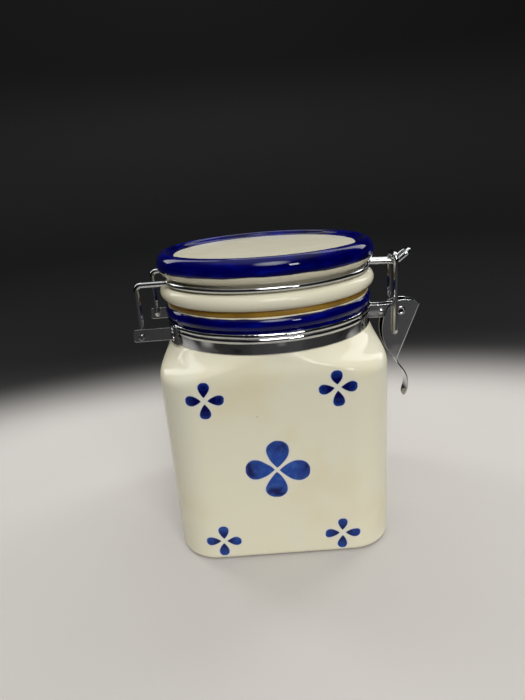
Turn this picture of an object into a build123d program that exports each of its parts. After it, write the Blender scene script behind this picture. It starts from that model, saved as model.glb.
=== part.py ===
from build123d import *
from math import asin, cos, radians, sin, sqrt, tan
import os

# A square ceramic canister with a round neck, a gasketed lid hinged on a wire,
# and an over-centre latch that pulls a wire loop down on the nose of the lid wire.
# Millimetres. The origin is the centre of the jar's base and +Z is up.
# +X points at the latch, -X at the hinge and -Y at the front.

# Jar body
body_width = 108.0
corner_radius = 20.5
wall = 5.0
floor_thickness = 6.0
base_round = 3.0
wall_height = 92.0
shoulder_rise = 14.0

# Round neck, set in from the sides of the body, and the rim round the mouth
neck_inset = 2.8
neck_wall = 6.2
neck_length = 10.3
neck_ledge = 0.5
mouth_round = 1.0
rim_bulge = 1.6
rim_height = 6.6
rim_edge_inset = 0.6

# Gasket, held on the spigot under the lid
gasket_thickness = 2.6
gasket_overhang = 0.2
gasket_bulge = 0.4
gasket_clearance = 0.15

# Lid, its overhangs measured from the neck
bead_overhang = 3.2
bead_height = 7.2
lid_overhang = 3.3
lid_rim_height = 11.5
lid_rim_drop = 5.8
lid_rim_width = 7.9
lid_crest_inset = 4.2
recess_depth = 2.3
lid_thickness = 5.0
spigot_inset = 1.0
spigot_height = 2.2
plug_depth = 5.5
plug_taper = 3.0
plug_wall = 5.0
hollow_draft = 3.0

# Wire of the lid ring and of the latch loop
wire_diameter = 2.6
ring_inset = 3.4
cove_margin = 0.8
cove_edge_inset = 0.2
seat_clearance = 0.15
pin_bend = 1.7
pin_clearance = 0.06

# Hinge: two brackets riveted to the band, with the ends of the lid wire in their ears
hinge_reach = 11.8
hinge_rise = 3.5
hinge_leg_y = 19.6
hinge_bend = 3.0
hinge_ear_height = 6.2
hinge_ear_drop = 2.4
hinge_ear_end = 4.0
hinge_ear_round = 1.2
bracket_thickness = 0.9
bracket_height = 9.0
bracket_foot = 7.6
side_gap = 0.1
pin_stub = 1.2

# Chromed band clamped round the neck, with its two ends turned out as the latch ears
band_thickness = 0.8
band_clearance = 0.1
band_lift = 0.2
band_face = 5.2
band_ridge = 0.45
ridge_height = 2.1
ridge_count = 2
latch_ear_thickness = 1.0
latch_ear_gap = 4.4
latch_ear_height = 6.8
latch_ear_drop = 1.0
latch_ear_round = 3.5

# Rivets
rivet_clearance = 0.05
foot_rivet_radius = 0.8
foot_rivet_head = 1.3
foot_rivet_dome = 0.7
foot_rivet_spacing = 4.0
clamp_rivet_back = 10.2
clamp_rivet_radius = 1.2
clamp_rivet_head = 1.75
clamp_rivet_dome = 1.0
clamp_shoulder_radius = 1.9
eyelet_radius = 1.6
eyelet_bore = 1.0
eyelet_head = 2.3
eyelet_head_thickness = 0.45

# Latch lever, a pressed channel with a thumb tab; its points are measured from its pivot
pivot_reach = 17.7
pivot_rise = 2.0
lever_thickness = 0.8
lever_top_corner = (-5.0, 4.1)
lever_crest = (0.4, 5.7)
lever_web_top = (9.4, 3.0)
lever_web_end = (-1.3, -24.6)
lever_throat = (-2.9, -26.4)
lever_belly = (-9.7, -8.2)
lever_corner_round = 1.5
lever_edge_round = 0.6
tab_bend_corner = (-2.55, -27.8)
tab_curl_corner = (6.1, -39.2)
tab_end = (2.6, -49.4)
tab_bend = 6.0
tab_curl = 15.0
tab_end_round = 3.0

# Latch loop and the nose that it holds
loop_inset = 3.4
loop_drop = 11.3
loop_side_gap = 0.3
loop_corner = 3.2
loop_pin_inside = 0.7
loop_slack = 1.15
nose_half_width = 3.0
nose_root_bend = 2.6
nose_bend = 3.0
nose_fall = 0.8
nose_offset = 1.3
nose_tip_length = 8.0
nose_tip_angle = 38.0
wire_exit_angle = 4.0

# Heights and places that follow from the sizes above
FRONT = -1
BACK = 1
body_half = body_width / 2
neck_radius = body_half - neck_inset
mouth_radius = neck_radius - neck_wall
rim_radius = neck_radius + rim_bulge
rim_edge_radius = neck_radius - rim_edge_inset
gasket_radius = neck_radius + gasket_overhang
spigot_radius = mouth_radius - spigot_inset
bead_radius = neck_radius + bead_overhang
lid_radius = neck_radius + lid_overhang
recess_radius = lid_radius - lid_rim_width
wire_radius = wire_diameter / 2
ring_radius = bead_radius - ring_inset
cove_height = wire_diameter + 2 * cove_margin
cove_edge_radius = ring_radius - cove_edge_inset
neck_base = wall_height + shoulder_rise
rim_base = neck_base + neck_length
rim_top = rim_base + rim_height
lid_base = rim_top + gasket_thickness
cove_base = lid_base + bead_height
cove_top = cove_base + cove_height
lid_top = cove_top + lid_rim_height
lid_widest = lid_top - lid_rim_drop
crest_radius = lid_radius - lid_crest_inset
crest_foot_radius = (crest_radius + recess_radius) / 2
recess_floor = lid_top - recess_depth
lid_ceiling = recess_floor - lid_thickness
plug_low = lid_base - plug_depth
plug_tip_radius = spigot_radius - plug_taper
hollow_radius = plug_tip_radius - plug_wall
ring_height = cove_base + cove_height / 2
band_base = neck_base + band_lift
band_top = band_base + band_face + ridge_count * ridge_height
band_inner = neck_radius + band_clearance
band_outer = band_inner + band_thickness
bracket_inner = band_outer + band_ridge + rivet_clearance
bracket_outer = bracket_inner + bracket_thickness
hinge_x = -neck_radius - hinge_reach
hinge_z = band_base + hinge_rise
hinge_ear_inner = hinge_leg_y + pin_bend + side_gap
hinge_ear_outer = hinge_ear_inner + bracket_thickness
hinge_ear_middle = (hinge_ear_inner + hinge_ear_outer) / 2
hinge_ear_root_x = -sqrt(((bracket_inner + bracket_outer) / 2) ** 2 - hinge_ear_middle**2)
foot_rivet_length = bracket_outer - band_inner
foot_rivet_turn = asin((hinge_ear_inner + bracket_foot / 2) / bracket_outer)
foot_rivet_middle = band_base + bracket_height / 2
ear_inner = latch_ear_gap / 2
ear_outer = ear_inner + latch_ear_thickness
ear_root_x = sqrt(((band_inner + band_outer) / 2) ** 2 - ((ear_inner + ear_outer) / 2) ** 2)
flange_inner = ear_outer + side_gap
flange_outer = flange_inner + lever_thickness
eyelet_seat = flange_outer + side_gap
eyelet_end = eyelet_seat + eyelet_head_thickness
pivot_x = neck_radius + pivot_reach
pivot_z = band_base + pivot_rise
clamp_x = pivot_x - clamp_rivet_back
loop_x = pivot_x - loop_inset
loop_z = pivot_z - loop_drop
loop_leg_y = eyelet_end + loop_side_gap + wire_radius
loop_pin_y = flange_inner - loop_pin_inside
crook_x = loop_x + nose_offset
crook_z = ring_height - nose_fall
crossbar_z = crook_z + wire_diameter + loop_slack

# Shares of the shoulder's height, and of the change from rounded square to circle there
shoulder_steps = ((0.0, 0.0), (0.28, 0.05), (0.52, 0.30), (0.76, 0.72), (1.0, 1.0))

os.makedirs("parts", exist_ok=True)


def bent_path(corners, radii):
    """The straight runs of a bent wire or strip, joined by an arc at each inner corner."""
    corners = [Vector(*corner) for corner in corners]
    with BuildLine() as path:
        start = corners[0]
        for before, corner, after, radius in zip(corners, corners[1:], corners[2:], radii):
            back = (before - corner).normalized()
            ahead = (after - corner).normalized()
            half_turn = radians(180 - back.get_angle(ahead)) / 2
            setback = radius * tan(half_turn)
            middle = corner + (back + ahead).normalized() * (radius / cos(half_turn) - radius)
            arc_start = corner + back * setback
            if (arc_start - start).length > 0.001:
                Line(start, arc_start)
            start = corner + ahead * setback
            ThreePointArc(arc_start, middle, start)
        Line(start, corners[-1])
    return path.line


def shoulder_sections(half, corner, end_radius, base):
    """Rounded squares that turn into a circle from the base of the shoulder to the neck."""
    sections = []
    for height_share, change_share in shoulder_steps:
        section_half = half + (end_radius - half) * change_share
        section_corner = corner + (end_radius - neck_ledge - corner) * change_share
        with BuildSketch(Plane.XY.offset(base + shoulder_rise * height_share)) as section:
            RectangleRounded(2 * section_half, 2 * section_half, section_corner)
        sections.append(section.sketch)
    return sections


def ring_exit(leg_y):
    """Where the tangent that leaves the wire ring crosses leg_y and the ring's front, from its centre."""
    turn = asin(leg_y / ring_radius) + radians(wire_exit_angle)
    leg_x = (ring_radius - leg_y * sin(turn)) / cos(turn)
    front_x = ring_radius * (1 - sin(turn)) / cos(turn)
    return leg_x, front_x


def foot_rivet_planes(side):
    """A plane for each rivet of one bracket, on the outside of its foot and facing outward."""
    outward = Vector(-cos(foot_rivet_turn), side * sin(foot_rivet_turn), 0)
    heights = (foot_rivet_middle - foot_rivet_spacing / 2, foot_rivet_middle + foot_rivet_spacing / 2)
    return [
        Plane(origin=outward * bracket_outer + Vector(0, 0, height), z_dir=outward) for height in heights
    ]


def from_pivot(point):
    """A point of the lever, moved from its pivot to the shared frame."""
    return (pivot_x + point[0], pivot_z + point[1])


def finish(piece, name):
    """Name a finished piece and write it out."""
    piece.part.label = name
    export_step(piece.part, f"parts/{name}.step")


# Jar: straight walls, a shoulder that turns from square to round, and a bulged rim
with BuildPart() as jar:
    with BuildSketch():
        RectangleRounded(body_width, body_width, corner_radius)
    extrude(amount=wall_height)
    fillet(jar.edges().group_by(Axis.Z)[0], base_round)
    loft(shoulder_sections(body_half, corner_radius, neck_radius + neck_ledge, wall_height))
    with BuildSketch(Plane.XZ):
        with BuildLine():
            rim_arc = ThreePointArc(
                (neck_radius, rim_base),
                (rim_radius, rim_base + rim_height / 2),
                (rim_edge_radius, rim_top),
            )
            rim_line = Line(rim_arc @ 1, (mouth_radius + mouth_round, rim_top))
            mouth_arc = TangentArc(rim_line @ 1, (mouth_radius, rim_top - mouth_round), tangent=(-1, 0))
            Polyline(mouth_arc @ 1, (mouth_radius, wall_height), (neck_radius, wall_height), rim_arc @ 0)
        make_face()
    revolve(axis=Axis.Z)
    with BuildSketch(Plane.XY.offset(floor_thickness)):
        RectangleRounded(body_width - 2 * wall, body_width - 2 * wall, corner_radius - wall)
    extrude(amount=wall_height - wall / 2 - floor_thickness, mode=Mode.SUBTRACT)
    loft(
        shoulder_sections(body_half - wall, corner_radius - wall, mouth_radius, wall_height - wall / 2),
        mode=Mode.SUBTRACT,
    )
    with BuildSketch(Plane.XY.offset(wall_height)):
        Circle(mouth_radius)
    extrude(amount=shoulder_rise, mode=Mode.SUBTRACT)
finish(jar, "jar")

# Gasket: a flat ring on the lid's spigot, its outer edge pressed into a slight bulge
with BuildPart() as gasket:
    with BuildSketch(Plane.XZ):
        with BuildLine():
            bulge_arc = ThreePointArc(
                (gasket_radius - gasket_bulge, rim_top),
                (gasket_radius, rim_top + gasket_thickness / 2),
                (gasket_radius - gasket_bulge, lid_base),
            )
            Polyline(
                bulge_arc @ 1,
                (spigot_radius + gasket_clearance, lid_base),
                (spigot_radius + gasket_clearance, rim_top),
                bulge_arc @ 0,
            )
        make_face()
    revolve(axis=Axis.Z)
finish(gasket, "gasket")

# Lid: a bead, a cove for the wire ring and a rounded rim, recessed on top and hollow below
with BuildPart() as lid:
    with BuildSketch(Plane.XZ):
        with BuildLine():
            bead_arc = ThreePointArc(
                (cove_edge_radius, lid_base),
                (bead_radius, lid_base + bead_height / 2),
                (cove_edge_radius, cove_base),
            )
            cove_arc = ThreePointArc(
                bead_arc @ 1,
                (ring_radius - wire_radius - seat_clearance, ring_height),
                (cove_edge_radius, cove_top),
            )
            TangentArc((lid_radius, lid_widest), cove_arc @ 1, tangent=(0, -1))
            crest_arc = EllipticalCenterArc(
                (crest_radius, lid_widest), lid_crest_inset, lid_rim_drop, arc_size=90
            )
            inner_slope = TangentArc(
                crest_arc @ 1, (crest_foot_radius, lid_top - recess_depth / 2), tangent=(-1, 0)
            )
            recess_arc = TangentArc(
                inner_slope @ 1, (recess_radius, recess_floor), tangent=inner_slope % 1
            )
            Polyline(
                recess_arc @ 1,
                (0, recess_floor),
                (0, lid_ceiling),
                (hollow_radius - hollow_draft, lid_ceiling),
                (hollow_radius, plug_low),
                (plug_tip_radius, plug_low),
                (spigot_radius, lid_base - spigot_height),
                (spigot_radius, lid_base),
                bead_arc @ 0,
            )
        make_face()
    revolve(axis=Axis.Z)
finish(lid, "lid")

# Lid wire: one length of wire from pin to pin, round the lid and out into the nose
hinge_exit_x, hinge_front_x = ring_exit(hinge_leg_y)
nose_exit_x, nose_front_x = ring_exit(nose_half_width)
tip_x = crook_x + nose_tip_length * cos(radians(nose_tip_angle))
tip_z = crook_z + nose_tip_length * sin(radians(nose_tip_angle))
back_corners = [
    (hinge_x, hinge_ear_outer + pin_stub, hinge_z),
    (hinge_x, hinge_leg_y, hinge_z),
    (hinge_x, hinge_leg_y, ring_height),
    (-hinge_exit_x, hinge_leg_y, ring_height),
    (-hinge_front_x, ring_radius, ring_height),
    (nose_front_x, ring_radius, ring_height),
    (nose_exit_x, nose_half_width, ring_height),
    (crook_x, nose_half_width, crook_z),
    (tip_x, nose_half_width, tip_z),
]
front_corners = [(x, -y, z) for x, y, z in back_corners]
half_radii = [
    pin_bend,
    hinge_bend,
    hinge_bend,
    ring_radius,
    ring_radius,
    nose_root_bend,
    nose_bend,
    nose_half_width,
]
lid_wire_path = bent_path(front_corners + back_corners[::-1], half_radii + half_radii[::-1])
with BuildPart() as lid_wire:
    with BuildSketch(Plane(origin=lid_wire_path @ 0, z_dir=lid_wire_path % 0)):
        Circle(wire_radius)
    sweep(path=lid_wire_path)
finish(lid_wire, "lid_wire")

# Neck band: a clamped strip with rolled ridges, its two ends turned out as the latch ears
with BuildPart() as neck_band:
    with BuildSketch(Plane.XZ):
        with BuildLine():
            ridge_base = band_base + band_face
            for ridge in range(ridge_count):
                ridge_low = ridge_base + ridge * ridge_height
                ThreePointArc(
                    (band_outer, ridge_low),
                    (band_outer + band_ridge, ridge_low + ridge_height / 2),
                    (band_outer, ridge_low + ridge_height),
                )
            Polyline(
                (band_outer, band_top),
                (band_inner, band_top),
                (band_inner, band_base),
                (band_outer, band_base),
                (band_outer, ridge_base),
            )
        make_face()
    revolve(axis=Axis.Z)
    with Locations((band_outer, 0, (band_base + band_top) / 2)):
        Box(8 * band_thickness, latch_ear_gap, 2 * (band_top - band_base), mode=Mode.SUBTRACT)
    for ear_start in (ear_inner, -ear_outer):
        with BuildSketch(Plane.XZ.offset(ear_start)):
            with BuildLine():
                ear_arc = ThreePointArc(
                    (pivot_x, pivot_z - latch_ear_round),
                    (pivot_x + latch_ear_round, pivot_z),
                    (pivot_x, pivot_z + latch_ear_round),
                )
                Polyline(
                    ear_arc @ 1,
                    (ear_root_x, band_base - latch_ear_drop + latch_ear_height),
                    (ear_root_x, band_base),
                    (band_outer + latch_ear_drop, band_base - latch_ear_drop),
                    ear_arc @ 0,
                )
            make_face()
            with Locations((clamp_x, pivot_z)):
                Circle(clamp_rivet_radius + rivet_clearance, mode=Mode.SUBTRACT)
            with Locations((pivot_x, pivot_z)):
                Circle(eyelet_radius + rivet_clearance, mode=Mode.SUBTRACT)
        extrude(amount=latch_ear_thickness)
    with Locations(*foot_rivet_planes(FRONT), *foot_rivet_planes(BACK)):
        Cylinder(
            foot_rivet_radius + rivet_clearance,
            2 * foot_rivet_length,
            align=(Align.CENTER, Align.CENTER, Align.MAX),
            mode=Mode.SUBTRACT,
        )
finish(neck_band, "neck_band")

# Hinge brackets: a curved foot on the band and an ear with the hole for the lid wire's end
for side, bracket_name in ((FRONT, "hinge_bracket_front"), (BACK, "hinge_bracket_back")):
    with BuildPart() as hinge_bracket:
        with BuildSketch(Plane.XY.offset(band_base)):
            Circle(bracket_outer)
            Circle(bracket_inner, mode=Mode.SUBTRACT)
            with Locations((-bracket_outer, side * (hinge_ear_inner + bracket_foot / 2))):
                Rectangle(bracket_outer, bracket_foot, mode=Mode.INTERSECT)
        extrude(amount=bracket_height)
        with BuildSketch(Plane.XZ.offset(-side * hinge_ear_inner)) as hinge_ear:
            with Locations((hinge_ear_root_x, hinge_z - hinge_ear_drop)):
                Rectangle(
                    hinge_ear_root_x - hinge_x + hinge_ear_end,
                    hinge_ear_height,
                    align=(Align.MAX, Align.MIN),
                )
            fillet(hinge_ear.vertices().group_by(Axis.X)[0], hinge_ear_round)
            with Locations((hinge_x, hinge_z)):
                Circle(wire_radius + pin_clearance, mode=Mode.SUBTRACT)
        extrude(amount=-side * bracket_thickness)
        with Locations(*foot_rivet_planes(side)):
            Cylinder(
                foot_rivet_radius + rivet_clearance,
                2 * foot_rivet_length,
                align=(Align.CENTER, Align.CENTER, Align.MAX),
                mode=Mode.SUBTRACT,
            )
    finish(hinge_bracket, bracket_name)

# Hinge rivets: four domed rivets through the bracket feet and the band
with BuildPart() as foot_rivet:
    with BuildSketch(Plane.XZ):
        with BuildLine():
            foot_dome = TangentArc((0, foot_rivet_dome), (foot_rivet_head, 0), tangent=(1, 0))
            Polyline(
                foot_dome @ 1,
                (foot_rivet_radius, 0),
                (foot_rivet_radius, -foot_rivet_length),
                (0, -foot_rivet_length),
                foot_dome @ 0,
            )
        make_face()
    revolve(axis=Axis.Z)
with BuildPart() as hinge_rivets:
    with Locations(*foot_rivet_planes(FRONT), *foot_rivet_planes(BACK)):
        add(foot_rivet.part)
finish(hinge_rivets, "hinge_rivets")

# Clamp rivet: draws the ends of the band together on its shoulder, with a dome on each side
with BuildPart() as band_clamp_rivet:
    with BuildSketch(Plane.XY.offset(pivot_z)):
        with BuildLine():
            clamp_dome = TangentArc(
                (clamp_x, ear_outer + clamp_rivet_dome),
                (clamp_x + clamp_rivet_head, ear_outer),
                tangent=(1, 0),
            )
            Polyline(
                clamp_dome @ 1,
                (clamp_x + clamp_rivet_radius, ear_outer),
                (clamp_x + clamp_rivet_radius, ear_inner),
                (clamp_x + clamp_shoulder_radius, ear_inner),
                (clamp_x + clamp_shoulder_radius, 0),
                (clamp_x, 0),
                clamp_dome @ 0,
            )
        make_face()
    revolve(axis=Axis((clamp_x, 0, pivot_z), (0, 1, 0)))
    mirror(about=Plane.XZ)
finish(band_clamp_rivet, "band_clamp_rivet")

# Lever pivot: a hollow eyelet through the latch ears, its rolled heads outside the lever
with BuildPart() as lever_pivot_eyelet:
    with BuildSketch(Plane.XY.offset(pivot_z)):
        with BuildLine():
            head_arc = ThreePointArc(
                (pivot_x + eyelet_head, eyelet_seat),
                (pivot_x + (eyelet_head + eyelet_bore) / 2, eyelet_end),
                (pivot_x + eyelet_bore, eyelet_seat),
            )
            Polyline(
                head_arc @ 1,
                (pivot_x + eyelet_bore, 0),
                (pivot_x + eyelet_radius, 0),
                (pivot_x + eyelet_radius, eyelet_seat),
                head_arc @ 0,
            )
        make_face()
    revolve(axis=Axis((pivot_x, 0, pivot_z), (0, 1, 0)))
    mirror(about=Plane.XZ)
finish(lever_pivot_eyelet, "lever_pivot_eyelet")

# Latch lever: the strip of the web and thumb tab, the two flanges of the channel and the rounded bends
strip_points = [from_pivot(point) for point in (lever_web_top, tab_bend_corner, tab_curl_corner, tab_end)]
strip_path = bent_path(strip_points, [tab_bend, tab_curl])
strip_low = strip_points[-1][1]
with BuildPart() as latch_lever:
    with BuildSketch(Plane.XZ):
        trace(strip_path, line_width=lever_thickness)
    extrude(amount=flange_outer, both=True)
    with BuildSketch(Plane.YZ) as tab_outline:
        with Locations((0, strip_low)):
            Rectangle(2 * flange_outer, lid_top - strip_low, align=(Align.CENTER, Align.MIN))
        fillet(tab_outline.vertices().group_by(Axis.Y)[0], tab_end_round)
    extrude(amount=2 * pivot_x, mode=Mode.INTERSECT)
    for flange_start in (flange_inner, -flange_outer):
        with BuildSketch(Plane.XZ.offset(flange_start)) as flange:
            with BuildLine():
                crest_curve = ThreePointArc(
                    from_pivot(lever_top_corner),
                    from_pivot(lever_crest),
                    from_pivot(lever_web_top),
                )
                Polyline(crest_curve @ 1, from_pivot(lever_web_end), from_pivot(lever_throat))
                ThreePointArc(
                    from_pivot(lever_throat),
                    from_pivot(lever_belly),
                    from_pivot(lever_top_corner),
                )
            make_face()
            fillet(flange.vertices().sort_by_distance(from_pivot(lever_top_corner))[0], lever_corner_round)
            with Locations((pivot_x, pivot_z)):
                Circle(eyelet_radius + rivet_clearance, mode=Mode.SUBTRACT)
            with Locations((loop_x, loop_z)):
                Circle(wire_radius + pin_clearance, mode=Mode.SUBTRACT)
        extrude(amount=lever_thickness)
    web_x, web_z = ((top + low) / 2 for top, low in zip(strip_points[0], strip_points[1]))
    beside_web = [(web_x + lever_thickness, side, web_z) for side in (-flange_outer, flange_outer)]
    bends = [latch_lever.edges().sort_by_distance(point)[0] for point in beside_web]
    fillet(bends, lever_edge_round)
finish(latch_lever, "latch_lever")

# Latch loop: bent wire with its ends turned in through the lever and its top over the nose
loop_corners = [
    (loop_x, -loop_pin_y, loop_z),
    (loop_x, -loop_leg_y, loop_z),
    (loop_x, -loop_leg_y, crossbar_z),
    (loop_x, loop_leg_y, crossbar_z),
    (loop_x, loop_leg_y, loop_z),
    (loop_x, loop_pin_y, loop_z),
]
loop_path = bent_path(loop_corners, [pin_bend, loop_corner, loop_corner, pin_bend])
with BuildPart() as latch_bail:
    with BuildSketch(Plane(origin=loop_path @ 0, z_dir=loop_path % 0)):
        Circle(wire_radius)
    sweep(path=loop_path)
finish(latch_bail, "latch_bail")
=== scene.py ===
from collections import namedtuple
from math import cos, pi, radians, sin

import bpy
from mathutils import Matrix, Vector

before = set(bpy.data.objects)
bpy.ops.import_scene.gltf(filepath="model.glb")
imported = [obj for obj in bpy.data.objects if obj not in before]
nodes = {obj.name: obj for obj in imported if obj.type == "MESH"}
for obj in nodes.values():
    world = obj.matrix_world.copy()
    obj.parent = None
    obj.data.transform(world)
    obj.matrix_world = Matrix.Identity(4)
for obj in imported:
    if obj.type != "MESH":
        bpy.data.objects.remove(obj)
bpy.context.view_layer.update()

# Painted blue zones, and the bare foot ring that also carries painted contact shade, in metres above the
# base or from the axis
NECK_BLUE_LOW = 0.1130
NECK_BLUE_HIGH = 0.1226
NECK_BLUE_INNER_RADIUS = 0.0485
LID_BLUE_LOW = 0.1403
LID_BLUE_INNER_RADIUS = 0.0453
SHADED_BARE_BASE_LOW = 0.0008
SHADED_BARE_BASE_HIGH = 0.0012
FLOWER_SIDE_START = 0.0505
FLOWER_SIDE_FULL = 0.0510

# How softly a painted edge ends and how far it wanders, in metres
PAINT_EDGE = 0.0004
FLOWER_WANDER = 0.0016
BAND_WANDER = 0.0012
RIM_WANDER = 0.0007
BASE_WANDER = 0.0005

# Colours, linear
IVORY = (0.800, 0.755, 0.588, 1)
IVORY_WARM = (0.760, 0.685, 0.485, 1)
IVORY_COOL = (0.785, 0.762, 0.640, 1)
# Bare clay of the foot, darkened further to stand for painted contact shade under the base edge
BARE_CLAY_AND_PAINTED_SHADE = (0.260, 0.190, 0.130, 1)
SPECK = (0.200, 0.150, 0.100, 1)
HALO = (0.680, 0.710, 0.720, 1)
COBALT = (0.000, 0.000, 0.090, 1)
COBALT_DEEP = (0.000, 0.000, 0.022, 1)
COBALT_THIN = (0.000, 0.008, 0.320, 1)
PETAL = (0.010, 0.052, 0.310, 1)
PETAL_DARK = (0.000, 0.000, 0.068, 1)
PETAL_LIGHT = (0.030, 0.105, 0.400, 1)
CHROME = (0.580, 0.585, 0.600, 1)
CHROME_DULL = (0.460, 0.455, 0.450, 1)
AMBER = (0.400, 0.220, 0.013, 1)
AMBER_DARK = (0.260, 0.132, 0.007, 1)

# Finish of the surfaces: gloss, and relief in metres
GLAZE_IOR = 1.34
GLAZE_WAVE_HEIGHT = 0.0006
SMALL_WAVE_SHARE = 0.25
METAL_EDGE_RADIUS = 0.0004
METAL_LINE_HEIGHT = 0.00004
BAND_DENT_HEIGHT = 0.0024
SHEET_DENT_HEIGHT = 0.0003
RUBBER_GRAIN_HEIGHT = 0.0001
RUBBER_GLOW = 0.15
RUBBER_GLOW_RADIUS = (0.004, 0.002, 0.0006)

# A petal swells by this power of the way along it, and the fullness brings it to its half width
PETAL_SWELL = 0.80
PETAL_FULLNESS = 1.855

# The five flowers of one side: place across and up, petal length and half width, gap in the middle,
# turn, and darkness of the paint at the inner end, at the outer end, along the edge and where it pools
Flower = namedtuple(
    "Flower", "across up length half_width gap turn inner_dark outer_dark edge_dark pool_dark"
)
FLOWERS = (
    Flower(-0.0017, 0.0496, 0.0152, 0.0055, 0.0011, radians(-5), 0.00, 0.20, 0.35, 0.80),
    Flower(-0.0318, 0.0873, 0.0088, 0.0027, 0.0014, radians(-1.5), 1.15, 0.40, 0.25, 0.40),
    Flower(0.0277, 0.0888, 0.0087, 0.0027, 0.0014, radians(4), 1.10, 0.30, 0.20, 0.35),
    Flower(-0.0306, 0.0114, 0.0087, 0.0026, 0.0013, radians(-2), 0.80, 0.10, 0.20, 0.20),
    Flower(0.0280, 0.0114, 0.0086, 0.0025, 0.0014, radians(-2), 0.85, 0.15, 0.20, 0.25),
)


class Graph:
    """A short way to write a node tree: each call adds a node and returns its output."""

    def __init__(self, tree):
        self.tree = tree

    def node(self, kind, **settings):
        made = self.tree.nodes.new(kind)
        for name, value in settings.items():
            setattr(made, name, value)
        return made

    def feed(self, socket, value):
        if isinstance(value, bpy.types.NodeSocket):
            self.tree.links.new(value, socket)
        elif value is not None:
            socket.default_value = value

    def math(self, operation, a, b=None, c=None, clamp=False):
        made = self.node("ShaderNodeMath", operation=operation, use_clamp=clamp)
        for socket, value in zip(made.inputs, (a, b, c)):
            self.feed(socket, value)
        return made.outputs[0]

    def size(self, value):
        return self.math("ABSOLUTE", value)

    def product(self, a, b):
        return self.math("MULTIPLY", a, b)

    def difference(self, a, b):
        return self.math("SUBTRACT", a, b)

    def radius(self, x, y):
        return self.math("SQRT", self.math("MULTIPLY_ADD", x, x, self.product(y, y)))

    def ramp(self, value, low, high, start=0.0, end=1.0):
        """A smooth step from start to end as value goes from low to high."""
        made = self.node("ShaderNodeMapRange", interpolation_type="SMOOTHSTEP")
        for name, number in (("From Min", low), ("From Max", high), ("To Min", start), ("To Max", end)):
            self.feed(made.inputs[name], number)
        self.feed(made.inputs["Value"], value)
        return made.outputs[0]

    def mix(self, share, a, b):
        made = self.node("ShaderNodeMix", data_type="RGBA")
        self.feed(made.inputs["Factor"], share)
        self.feed(made.inputs[6], a)
        self.feed(made.inputs[7], b)
        return made.outputs[2]

    def pick(self, share, a, b):
        made = self.node("ShaderNodeMix", data_type="FLOAT")
        self.feed(made.inputs[0], share)
        self.feed(made.inputs[2], a)
        self.feed(made.inputs[3], b)
        return made.outputs[0]

    def noise(self, vector, scale, detail=2.0, roughness=0.5, output="Fac"):
        made = self.node("ShaderNodeTexNoise")
        self.feed(made.inputs["Vector"], vector)
        self.feed(made.inputs["Scale"], scale)
        self.feed(made.inputs["Detail"], detail)
        self.feed(made.inputs["Roughness"], roughness)
        return made.outputs[output]

    def place(self):
        return self.node("ShaderNodeTexCoord").outputs["Object"]

    def split(self, vector):
        made = self.node("ShaderNodeSeparateXYZ")
        self.feed(made.inputs[0], vector)
        return made.outputs[0], made.outputs[1], made.outputs[2]

    def vector(self, operation, a, b=None, output="Vector"):
        made = self.node("ShaderNodeVectorMath", operation=operation)
        self.feed(made.inputs[0], a)
        self.feed(made.inputs[1], b)
        return made.outputs[output]

    def stretch(self, vector, scale):
        return self.vector("MULTIPLY", vector, scale)


def new_material(name):
    material = bpy.data.materials.new(name)
    material.use_nodes = True
    tree = material.node_tree
    shader = next(node for node in tree.nodes if node.type == "BSDF_PRINCIPLED")
    return material, Graph(tree), shader


def relief(graph, height, strength, distance, under=None):
    """The normal of small relief from a height, over another normal where one is given."""
    made = graph.node("ShaderNodeBump")
    graph.feed(made.inputs["Strength"], strength)
    graph.feed(made.inputs["Distance"], distance)
    graph.feed(made.inputs["Height"], height)
    graph.feed(made.inputs["Normal"], under)
    return made.outputs[0]


def rounded_edges(graph, radius):
    """The normal of edges that look slightly rounded."""
    made = graph.node("ShaderNodeBevel", samples=6)
    graph.feed(made.inputs["Radius"], radius)
    return made.outputs[0]


def petal_group():
    """Depth inside a flower of four drop-shaped petals, and the share of the way along the petal."""
    group = bpy.data.node_groups.new("four_petals", "ShaderNodeTree")
    for name in ("Across", "Up", "Length", "Half Width", "Gap"):
        group.interface.new_socket(name, in_out="INPUT", socket_type="NodeSocketFloat")
    for name in ("Depth", "Along"):
        group.interface.new_socket(name, in_out="OUTPUT", socket_type="NodeSocketFloat")
    graph = Graph(group)
    across, up, length, half_width, gap = graph.node("NodeGroupInput").outputs[:5]
    out = graph.math("MAXIMUM", graph.size(across), graph.size(up))
    aside = graph.math("MINIMUM", graph.size(across), graph.size(up))
    along = graph.math("DIVIDE", graph.difference(out, gap), graph.difference(length, gap), clamp=True)
    swell = graph.math("POWER", along, PETAL_SWELL)
    close = graph.math("SQRT", graph.difference(1.0, graph.math("POWER", along, 2.0)))
    drop = graph.product(graph.product(swell, close), PETAL_FULLNESS)
    side = graph.difference(graph.product(drop, half_width), aside)
    ends = graph.math("MINIMUM", graph.difference(length, out), graph.difference(out, gap))
    result = graph.node("NodeGroupOutput")
    graph.feed(result.inputs["Depth"], graph.math("MINIMUM", side, ends))
    graph.feed(result.inputs["Along"], along)
    return group


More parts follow.
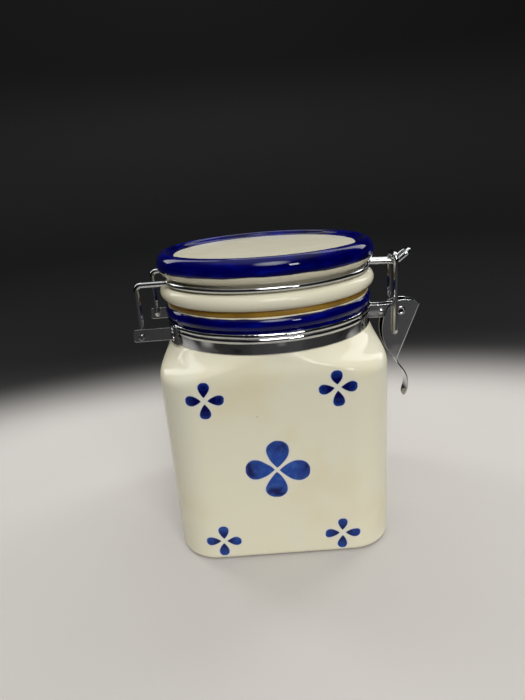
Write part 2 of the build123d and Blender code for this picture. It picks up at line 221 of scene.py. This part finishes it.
def glaze_ground(graph, place):
    """The ivory glaze: slow changes of warmth, and a few small specks in the clay."""
    warmth = graph.noise(place, 22.0, detail=3.0)
    ground = graph.mix(graph.ramp(warmth, 0.52, 0.78), IVORY, IVORY_WARM)
    coolness = graph.noise(graph.stretch(place, (1.0, 1.0, 0.4)), 35.0, detail=2.0)
    ground = graph.mix(graph.ramp(coolness, 0.55, 0.80, 0.0, 0.7), ground, IVORY_COOL)
    cells = graph.node("ShaderNodeTexVoronoi")
    graph.feed(cells.inputs["Vector"], place)
    graph.feed(cells.inputs["Scale"], 110.0)
    chance, _, _ = graph.split(cells.outputs["Color"])
    spot = graph.ramp(cells.outputs["Distance"], 0.020, 0.045, 1.0, 0.0)
    speck = graph.product(spot, graph.math("GREATER_THAN", chance, 0.86))
    return graph.mix(graph.product(speck, 0.55), ground, SPECK)


def cobalt_paint(graph, place, depth):
    """The painted blue: streaks along the brush, thin in places and dark where it pools at an edge."""
    streaks = graph.noise(graph.stretch(place, (1.0, 1.0, 6.0)), 60.0, detail=4.0, roughness=0.6)
    blotches = graph.noise(place, 45.0, detail=2.0)
    blue = graph.mix(graph.ramp(streaks, 0.48, 0.75, 0.0, 0.65), COBALT, COBALT_THIN)
    blue = graph.mix(graph.ramp(blotches, 0.50, 0.72, 0.0, 0.75), blue, COBALT_DEEP)
    return graph.mix(graph.ramp(depth, 0.0002, 0.0014, 0.6, 0.0), blue, COBALT_DEEP)


def finish_glaze(graph, shader, place, colour):
    """Gloss of a fired glaze, with the slight waves that break its reflections."""
    graph.feed(shader.inputs["Base Color"], colour)
    smears = graph.noise(place, 40.0, detail=3.0)
    graph.feed(shader.inputs["Roughness"], graph.ramp(smears, 0.35, 0.75, 0.05, 0.11))
    shader.inputs["IOR"].default_value = GLAZE_IOR
    small_waves = graph.noise(place, 130.0, detail=1.0)
    slow_waves = graph.noise(place, 38.0, detail=1.0)
    height = graph.math("MULTIPLY_ADD", small_waves, SMALL_WAVE_SHARE, slow_waves)
    graph.feed(shader.inputs["Normal"], relief(graph, height, 0.35, GLAZE_WAVE_HEIGHT))


def wandering(graph, value, noise, amount):
    """A distance with small changes, so that a painted edge looks drawn by hand."""
    return graph.math("MULTIPLY_ADD", graph.difference(noise, 0.5), amount, value)


def side_across(graph, x, y):
    """The place across each of the four sides, from its own left to its own right, seen from outside."""
    on_front_or_back = graph.math("GREATER_THAN", graph.size(y), graph.size(x))
    front_across = graph.product(x, graph.product(graph.math("SIGN", y), -1.0))
    end_across = graph.product(y, graph.math("SIGN", x))
    return graph.pick(on_front_or_back, end_across, front_across)


def flower_shape(graph, petals, flower, across, up):
    """Depth inside one flower, turned about its middle, and the way along its petals."""
    from_x = graph.difference(across, flower.across)
    from_z = graph.difference(up, flower.up)
    turned_x = graph.math(
        "MULTIPLY_ADD", from_x, cos(flower.turn), graph.product(from_z, sin(flower.turn))
    )
    turned_z = graph.math(
        "MULTIPLY_ADD", from_z, cos(flower.turn), graph.product(from_x, -sin(flower.turn))
    )
    shape = graph.node("ShaderNodeGroup", node_tree=petals)
    values = (turned_x, turned_z, flower.length, flower.half_width, flower.gap)
    for socket, value in zip(shape.inputs, values):
        graph.feed(socket, value)
    return shape.outputs["Depth"], shape.outputs["Along"]


def paint_flowers(graph, place, colour):
    """Five flowers on each side, with a pale halo, washes inside the petals and pools at their ends."""
    x, y, z = graph.split(place)
    wander_x, _, wander_z = graph.split(graph.noise(place, 95.0, detail=1.0, output="Color"))
    across = wandering(graph, side_across(graph, x, y), wander_x, FLOWER_WANDER)
    up = wandering(graph, z, wander_z, FLOWER_WANDER)
    from_middle = graph.math("MAXIMUM", graph.size(x), graph.size(y))
    outer_side = graph.ramp(from_middle, FLOWER_SIDE_START, FLOWER_SIDE_FULL)
    petals = petal_group()
    patches = graph.ramp(graph.noise(place, 150.0, detail=1.0), 0.36, 0.60, 0.15, 1.0)
    washes = graph.noise(place, 260.0, detail=3.0, roughness=0.6)
    wash_colour = graph.mix(graph.ramp(washes, 0.42, 0.68, 0.0, 0.8), PETAL, PETAL_LIGHT)
    for flower in FLOWERS:
        depth, along = flower_shape(graph, petals, flower, across, up)
        halo = graph.product(graph.ramp(depth, -0.0011, -0.0001, 0.0, 0.75), outer_side)
        paint = graph.product(graph.ramp(depth, -0.0001, 0.0004), outer_side)
        core = graph.product(graph.ramp(along, 0.50, 0.74), graph.ramp(depth, 0.0003, 0.0019))
        rim = graph.ramp(depth, 0.0002, 0.0009, flower.edge_dark, 0.0)
        laid = graph.ramp(along, 0.25, 0.95, flower.inner_dark, flower.outer_dark)
        dark = graph.math(
            "MULTIPLY_ADD",
            graph.product(core, patches),
            flower.pool_dark,
            graph.math("ADD", laid, rim),
            clamp=True,
        )
        colour = graph.mix(halo, colour, HALO)
        colour = graph.mix(paint, colour, graph.mix(dark, wash_colour, PETAL_DARK))
    return colour


def jar_material():
    material, graph, shader = new_material("ivory_glaze_with_flowers")
    place = graph.place()
    x, y, z = graph.split(place)
    colour = paint_flowers(graph, place, glaze_ground(graph, place))

    drawn_height = wandering(graph, z, graph.noise(place, 70.0), BAND_WANDER)
    neck_depth = graph.math(
        "MINIMUM",
        graph.difference(drawn_height, NECK_BLUE_LOW),
        graph.difference(NECK_BLUE_HIGH, drawn_height),
    )
    outside = graph.math("GREATER_THAN", graph.radius(x, y), NECK_BLUE_INNER_RADIUS)
    neck_paint = graph.product(graph.ramp(neck_depth, 0.0, PAINT_EDGE), outside)
    colour = graph.mix(neck_paint, colour, cobalt_paint(graph, place, neck_depth))

    # The bare foot ring is widened and darkened as painted contact shade along the bottom edge
    base_height = wandering(graph, z, graph.noise(place, 220.0), BASE_WANDER)
    bare_base_and_painted_shade = graph.ramp(base_height, SHADED_BARE_BASE_LOW, SHADED_BARE_BASE_HIGH, 1.0, 0.0)
    colour = graph.mix(bare_base_and_painted_shade, colour, BARE_CLAY_AND_PAINTED_SHADE)
    finish_glaze(graph, shader, place, colour)
    return material


def lid_material():
    material, graph, shader = new_material("ivory_glaze_with_blue_rim")
    place = graph.place()
    x, y, z = graph.split(place)
    drawn_height = wandering(graph, z, graph.noise(place, 70.0), BAND_WANDER)
    drawn_radius = wandering(graph, graph.radius(x, y), graph.noise(place, 80.0), RIM_WANDER)
    rim_depth = graph.math(
        "MINIMUM",
        graph.difference(drawn_height, LID_BLUE_LOW),
        graph.difference(drawn_radius, LID_BLUE_INNER_RADIUS),
    )
    paint = graph.ramp(rim_depth, 0.0, PAINT_EDGE)
    blue = cobalt_paint(graph, place, rim_depth)
    finish_glaze(graph, shader, place, graph.mix(paint, glaze_ground(graph, place), blue))
    return material


def chrome_material(name, brush, roughness_low, roughness_high, dent_height=None):
    """Bright plating with the faint lines of the rolled or drawn metal, and dull smears of handling."""
    material, graph, shader = new_material(name)
    place = graph.place()
    smears = graph.noise(place, 120.0, detail=4.0, roughness=0.65)
    graph.feed(shader.inputs["Base Color"], graph.mix(graph.ramp(smears, 0.50, 0.80), CHROME, CHROME_DULL))
    shader.inputs["Metallic"].default_value = 1.0
    rough = graph.ramp(smears, 0.40, 0.80, roughness_low, roughness_high)
    graph.feed(shader.inputs["Roughness"], rough)
    normal = rounded_edges(graph, METAL_EDGE_RADIUS)
    if dent_height:
        normal = relief(graph, graph.noise(place, 65.0, detail=1.0), 1.0, dent_height, normal)
    lines = graph.noise(graph.stretch(place, brush), 900.0, detail=3.0, roughness=0.6)
    graph.feed(shader.inputs["Normal"], relief(graph, lines, 0.10, METAL_LINE_HEIGHT, normal))
    return material


def rubber_material():
    material, graph, shader = new_material("amber_rubber")
    place = graph.place()
    cloud = graph.noise(place, 60.0, detail=3.0)
    graph.feed(shader.inputs["Base Color"], graph.mix(graph.ramp(cloud, 0.35, 0.70), AMBER, AMBER_DARK))
    grain = graph.noise(place, 1500.0, detail=2.0)
    graph.feed(shader.inputs["Roughness"], graph.ramp(grain, 0.3, 0.7, 0.38, 0.52))
    shader.inputs["Subsurface Weight"].default_value = RUBBER_GLOW
    shader.inputs["Subsurface Radius"].default_value = RUBBER_GLOW_RADIUS
    graph.feed(shader.inputs["Normal"], relief(graph, grain, 0.15, RUBBER_GRAIN_HEIGHT))
    return material


def dress(material, *node_names):
    for node_name in node_names:
        obj = nodes[node_name]
        obj.data.materials.clear()
        obj.data.materials.append(material)


# How far the lines of the metal are drawn out along each axis
ROLLED = (0.15, 0.15, 1.0)
DRAWN = (0.2, 0.2, 0.2)
EVEN = (1.0, 1.0, 1.0)

dress(jar_material(), "jar")
dress(lid_material(), "lid")
dress(rubber_material(), "gasket")
dress(chrome_material("bright_plated_band", ROLLED, 0.03, 0.10, BAND_DENT_HEIGHT), "neck_band")
dress(
    chrome_material("bright_plated_sheet", ROLLED, 0.03, 0.10, SHEET_DENT_HEIGHT),
    "hinge_bracket_front",
    "hinge_bracket_back",
    "latch_lever",
)
dress(chrome_material("bright_plated_wire", DRAWN, 0.04, 0.12), "lid_wire", "latch_bail")
dress(
    chrome_material("bright_plated_rivet", EVEN, 0.07, 0.18),
    "hinge_rivets",
    "band_clamp_rivet",
    "lever_pivot_eyelet",
)


# Stage, in metres: a pale floor painted with a pool of light that falls off to painted shade outwards, and
# curves up into a wall all round
FLOOR_INNER_RINGS = (0.25, 0.60)
FLOOR_RADIUS = 1.3
FLOOR_SWEEP = 0.6
WALL_TOP = 1.1
FLOOR_SEGMENTS = 96
SWEEP_STEPS = 16
FLOOR_SPREAD = (0.6, 1.0, 1.0)
# Radii where the painted pool of light ends and where its painted falloff to shade is complete
PAINTED_LIGHT_POOL_RADIUS = 0.14
PAINTED_FALLOFF_RADIUS = 0.28
BACKDROP_CENTRE = (0.0, -0.25, 0.0)
BACKDROP_START = 0.38
BACKDROP_END = 0.57
FLOOR_PALE = (0.550, 0.522, 0.502, 1)
FLOOR_PALEST = (0.590, 0.561, 0.540, 1)
# Colour of the painted shade outside the painted pool of light
FLOOR_PAINTED_FALLOFF = (0.038, 0.037, 0.037, 1)
BACKDROP_DARK = (0.009, 0.009, 0.010, 1)
FLOOR_ROUGHNESS = 0.6
FLOOR_SHINE = 0.10

# Soft light all round: its least strength, its strength straight above and towards the key, the height
# of a direction at which the light from above begins, and the cosine at which the key's begins
LIGHT_COLOUR = (0.99, 1.0, 0.97, 1)
AMBIENT_STRENGTH = 0.06
ABOVE_START = 0.62
ABOVE_STRENGTH = 1.00
KEY_DIRECTION = (0.10, -0.70, 0.70)
KEY_START = 0.95
KEY_STRENGTH = 10.5
KEY_TARGET = (0, 0, 0.08)
LAMP_TARGET = (0, 0, 0.09)
STRIP_SIZE = (0.20, 0.70)
STRIP_POWER = 1.4

# The photograph's camera: place in metres, view direction, roll in radians, lens and sensor in millimetres
CAMERA_PLACE = (-0.001664, -0.258385, 0.179304)
CAMERA_FORWARD = (-0.01178, 0.94592, -0.32419)
CAMERA_ROLL = -0.0802
CAMERA_LENS = 25.88
CAMERA_SENSOR = 36.0
CAMERA_NEAR_LIMIT = 0.01


def floor_mesh():
    profile = [(radius, 0.0) for radius in FLOOR_INNER_RINGS]
    for step in range(SWEEP_STEPS + 1):
        angle = pi / 2 * step / SWEEP_STEPS
        profile.append((FLOOR_RADIUS + FLOOR_SWEEP * sin(angle), FLOOR_SWEEP * (1 - cos(angle))))
    profile.append((FLOOR_RADIUS + FLOOR_SWEEP, WALL_TOP))
    corners = [(0.0, 0.0, 0.0)]
    for radius, height in profile:
        for step in range(FLOOR_SEGMENTS):
            angle = 2 * pi * step / FLOOR_SEGMENTS
            corners.append((radius * cos(angle), radius * sin(angle), height))
    faces = [(0, 1 + step, 1 + (step + 1) % FLOOR_SEGMENTS) for step in range(FLOOR_SEGMENTS)]
    for ring in range(len(profile) - 1):
        start = 1 + ring * FLOOR_SEGMENTS
        above = start + FLOOR_SEGMENTS
        for step in range(FLOOR_SEGMENTS):
            after = (step + 1) % FLOOR_SEGMENTS
            faces.append((start + step, above + step, above + after, start + after))
    mesh = bpy.data.meshes.new("floor")
    mesh.from_pydata(corners, [], faces)
    mesh.polygons.foreach_set("use_smooth", [True] * len(mesh.polygons))
    return mesh


def floor_material():
    material, graph, shader = new_material("pale_floor")
    place = graph.place()
    cloud = graph.noise(place, 9.0, detail=3.0)
    spread = graph.stretch(place, FLOOR_SPREAD)
    reach = graph.vector("LENGTH", spread, output="Value")
    # Painted pool of light: the floor's colour falls off from pale to painted shade outwards
    painted_falloff = graph.ramp(reach, PAINTED_LIGHT_POOL_RADIUS, PAINTED_FALLOFF_RADIUS)
    ground = graph.mix(painted_falloff, graph.mix(cloud, FLOOR_PALE, FLOOR_PALEST), FLOOR_PAINTED_FALLOFF)
    behind = graph.vector("DISTANCE", spread, BACKDROP_CENTRE, output="Value")
    backdrop = graph.ramp(behind, BACKDROP_START, BACKDROP_END)
    graph.feed(shader.inputs["Base Color"], graph.mix(backdrop, ground, BACKDROP_DARK))
    shader.inputs["Roughness"].default_value = FLOOR_ROUGHNESS
    shader.inputs["Specular IOR Level"].default_value = FLOOR_SHINE
    return material


def floor():
    mesh = floor_mesh()
    mesh.materials.append(floor_material())
    obj = bpy.data.objects.new("floor", mesh)
    bpy.context.scene.collection.objects.link(obj)


def area_light(name, place, target, size, power):
    data = bpy.data.lights.new(name, "AREA")
    data.shape = "RECTANGLE"
    data.size, data.size_y = size
    data.energy = power
    obj = bpy.data.objects.new(name, data)
    obj.location = place
    obj.rotation_euler = (Vector(target) - Vector(place)).to_track_quat("-Z", "Y").to_euler()
    bpy.context.scene.collection.objects.link(obj)


def world_light():
    """Soft light from above and from the front, with no hard edge that a glaze could mirror."""
    world = bpy.data.worlds.new("studio")
    world.use_nodes = True
    background = next(node for node in world.node_tree.nodes if node.type == "BACKGROUND")
    background.inputs["Color"].default_value = LIGHT_COLOUR
    graph = Graph(world.node_tree)
    direction = graph.node("ShaderNodeTexCoord").outputs["Generated"]
    _, _, up = graph.split(direction)
    facing = graph.vector("DOT_PRODUCT", direction, Vector(KEY_DIRECTION).normalized(), output="Value")
    from_above = graph.ramp(up, ABOVE_START, 1.0, AMBIENT_STRENGTH, ABOVE_STRENGTH)
    from_key = graph.ramp(facing, KEY_START, 1.0, 0.0, KEY_STRENGTH)
    graph.feed(background.inputs["Strength"], graph.math("ADD", from_above, from_key))
    bpy.context.scene.world = world


def photo_camera():
    """The camera that was fitted to the square base, the round lid and the neck in the photograph."""
    data = bpy.data.cameras.new("photo_camera")
    data.lens = CAMERA_LENS
    data.sensor_width = CAMERA_SENSOR
    data.clip_start = CAMERA_NEAR_LIMIT
    obj = bpy.data.objects.new("photo_camera", data)
    forward = Vector(CAMERA_FORWARD).normalized()
    level_right = forward.cross(Vector((0, 0, 1))).normalized()
    level_up = level_right.cross(forward)
    right = level_right * cos(CAMERA_ROLL) + level_up * sin(CAMERA_ROLL)
    up = level_up * cos(CAMERA_ROLL) - level_right * sin(CAMERA_ROLL)
    turn = Matrix((right, up, -forward)).transposed().to_4x4()
    obj.matrix_world = Matrix.Translation(CAMERA_PLACE) @ turn
    bpy.context.scene.collection.objects.link(obj)
    bpy.context.scene.camera = obj


floor()
area_light("key", place=(0.42, -0.78, 0.50), target=KEY_TARGET, size=(0.14, 0.14), power=1.5)
for name, side in (("right_strip", 0.50), ("left_strip", -0.50)):
    area_light(name, place=(side, 0.34, 0.60), target=LAMP_TARGET, size=STRIP_SIZE, power=STRIP_POWER)
area_light("back", place=(0.10, 0.58, 0.95), target=LAMP_TARGET, size=(0.60, 0.50), power=1.5)
world_light()
photo_camera()
bpy.context.scene.view_settings.view_transform = "Standard"
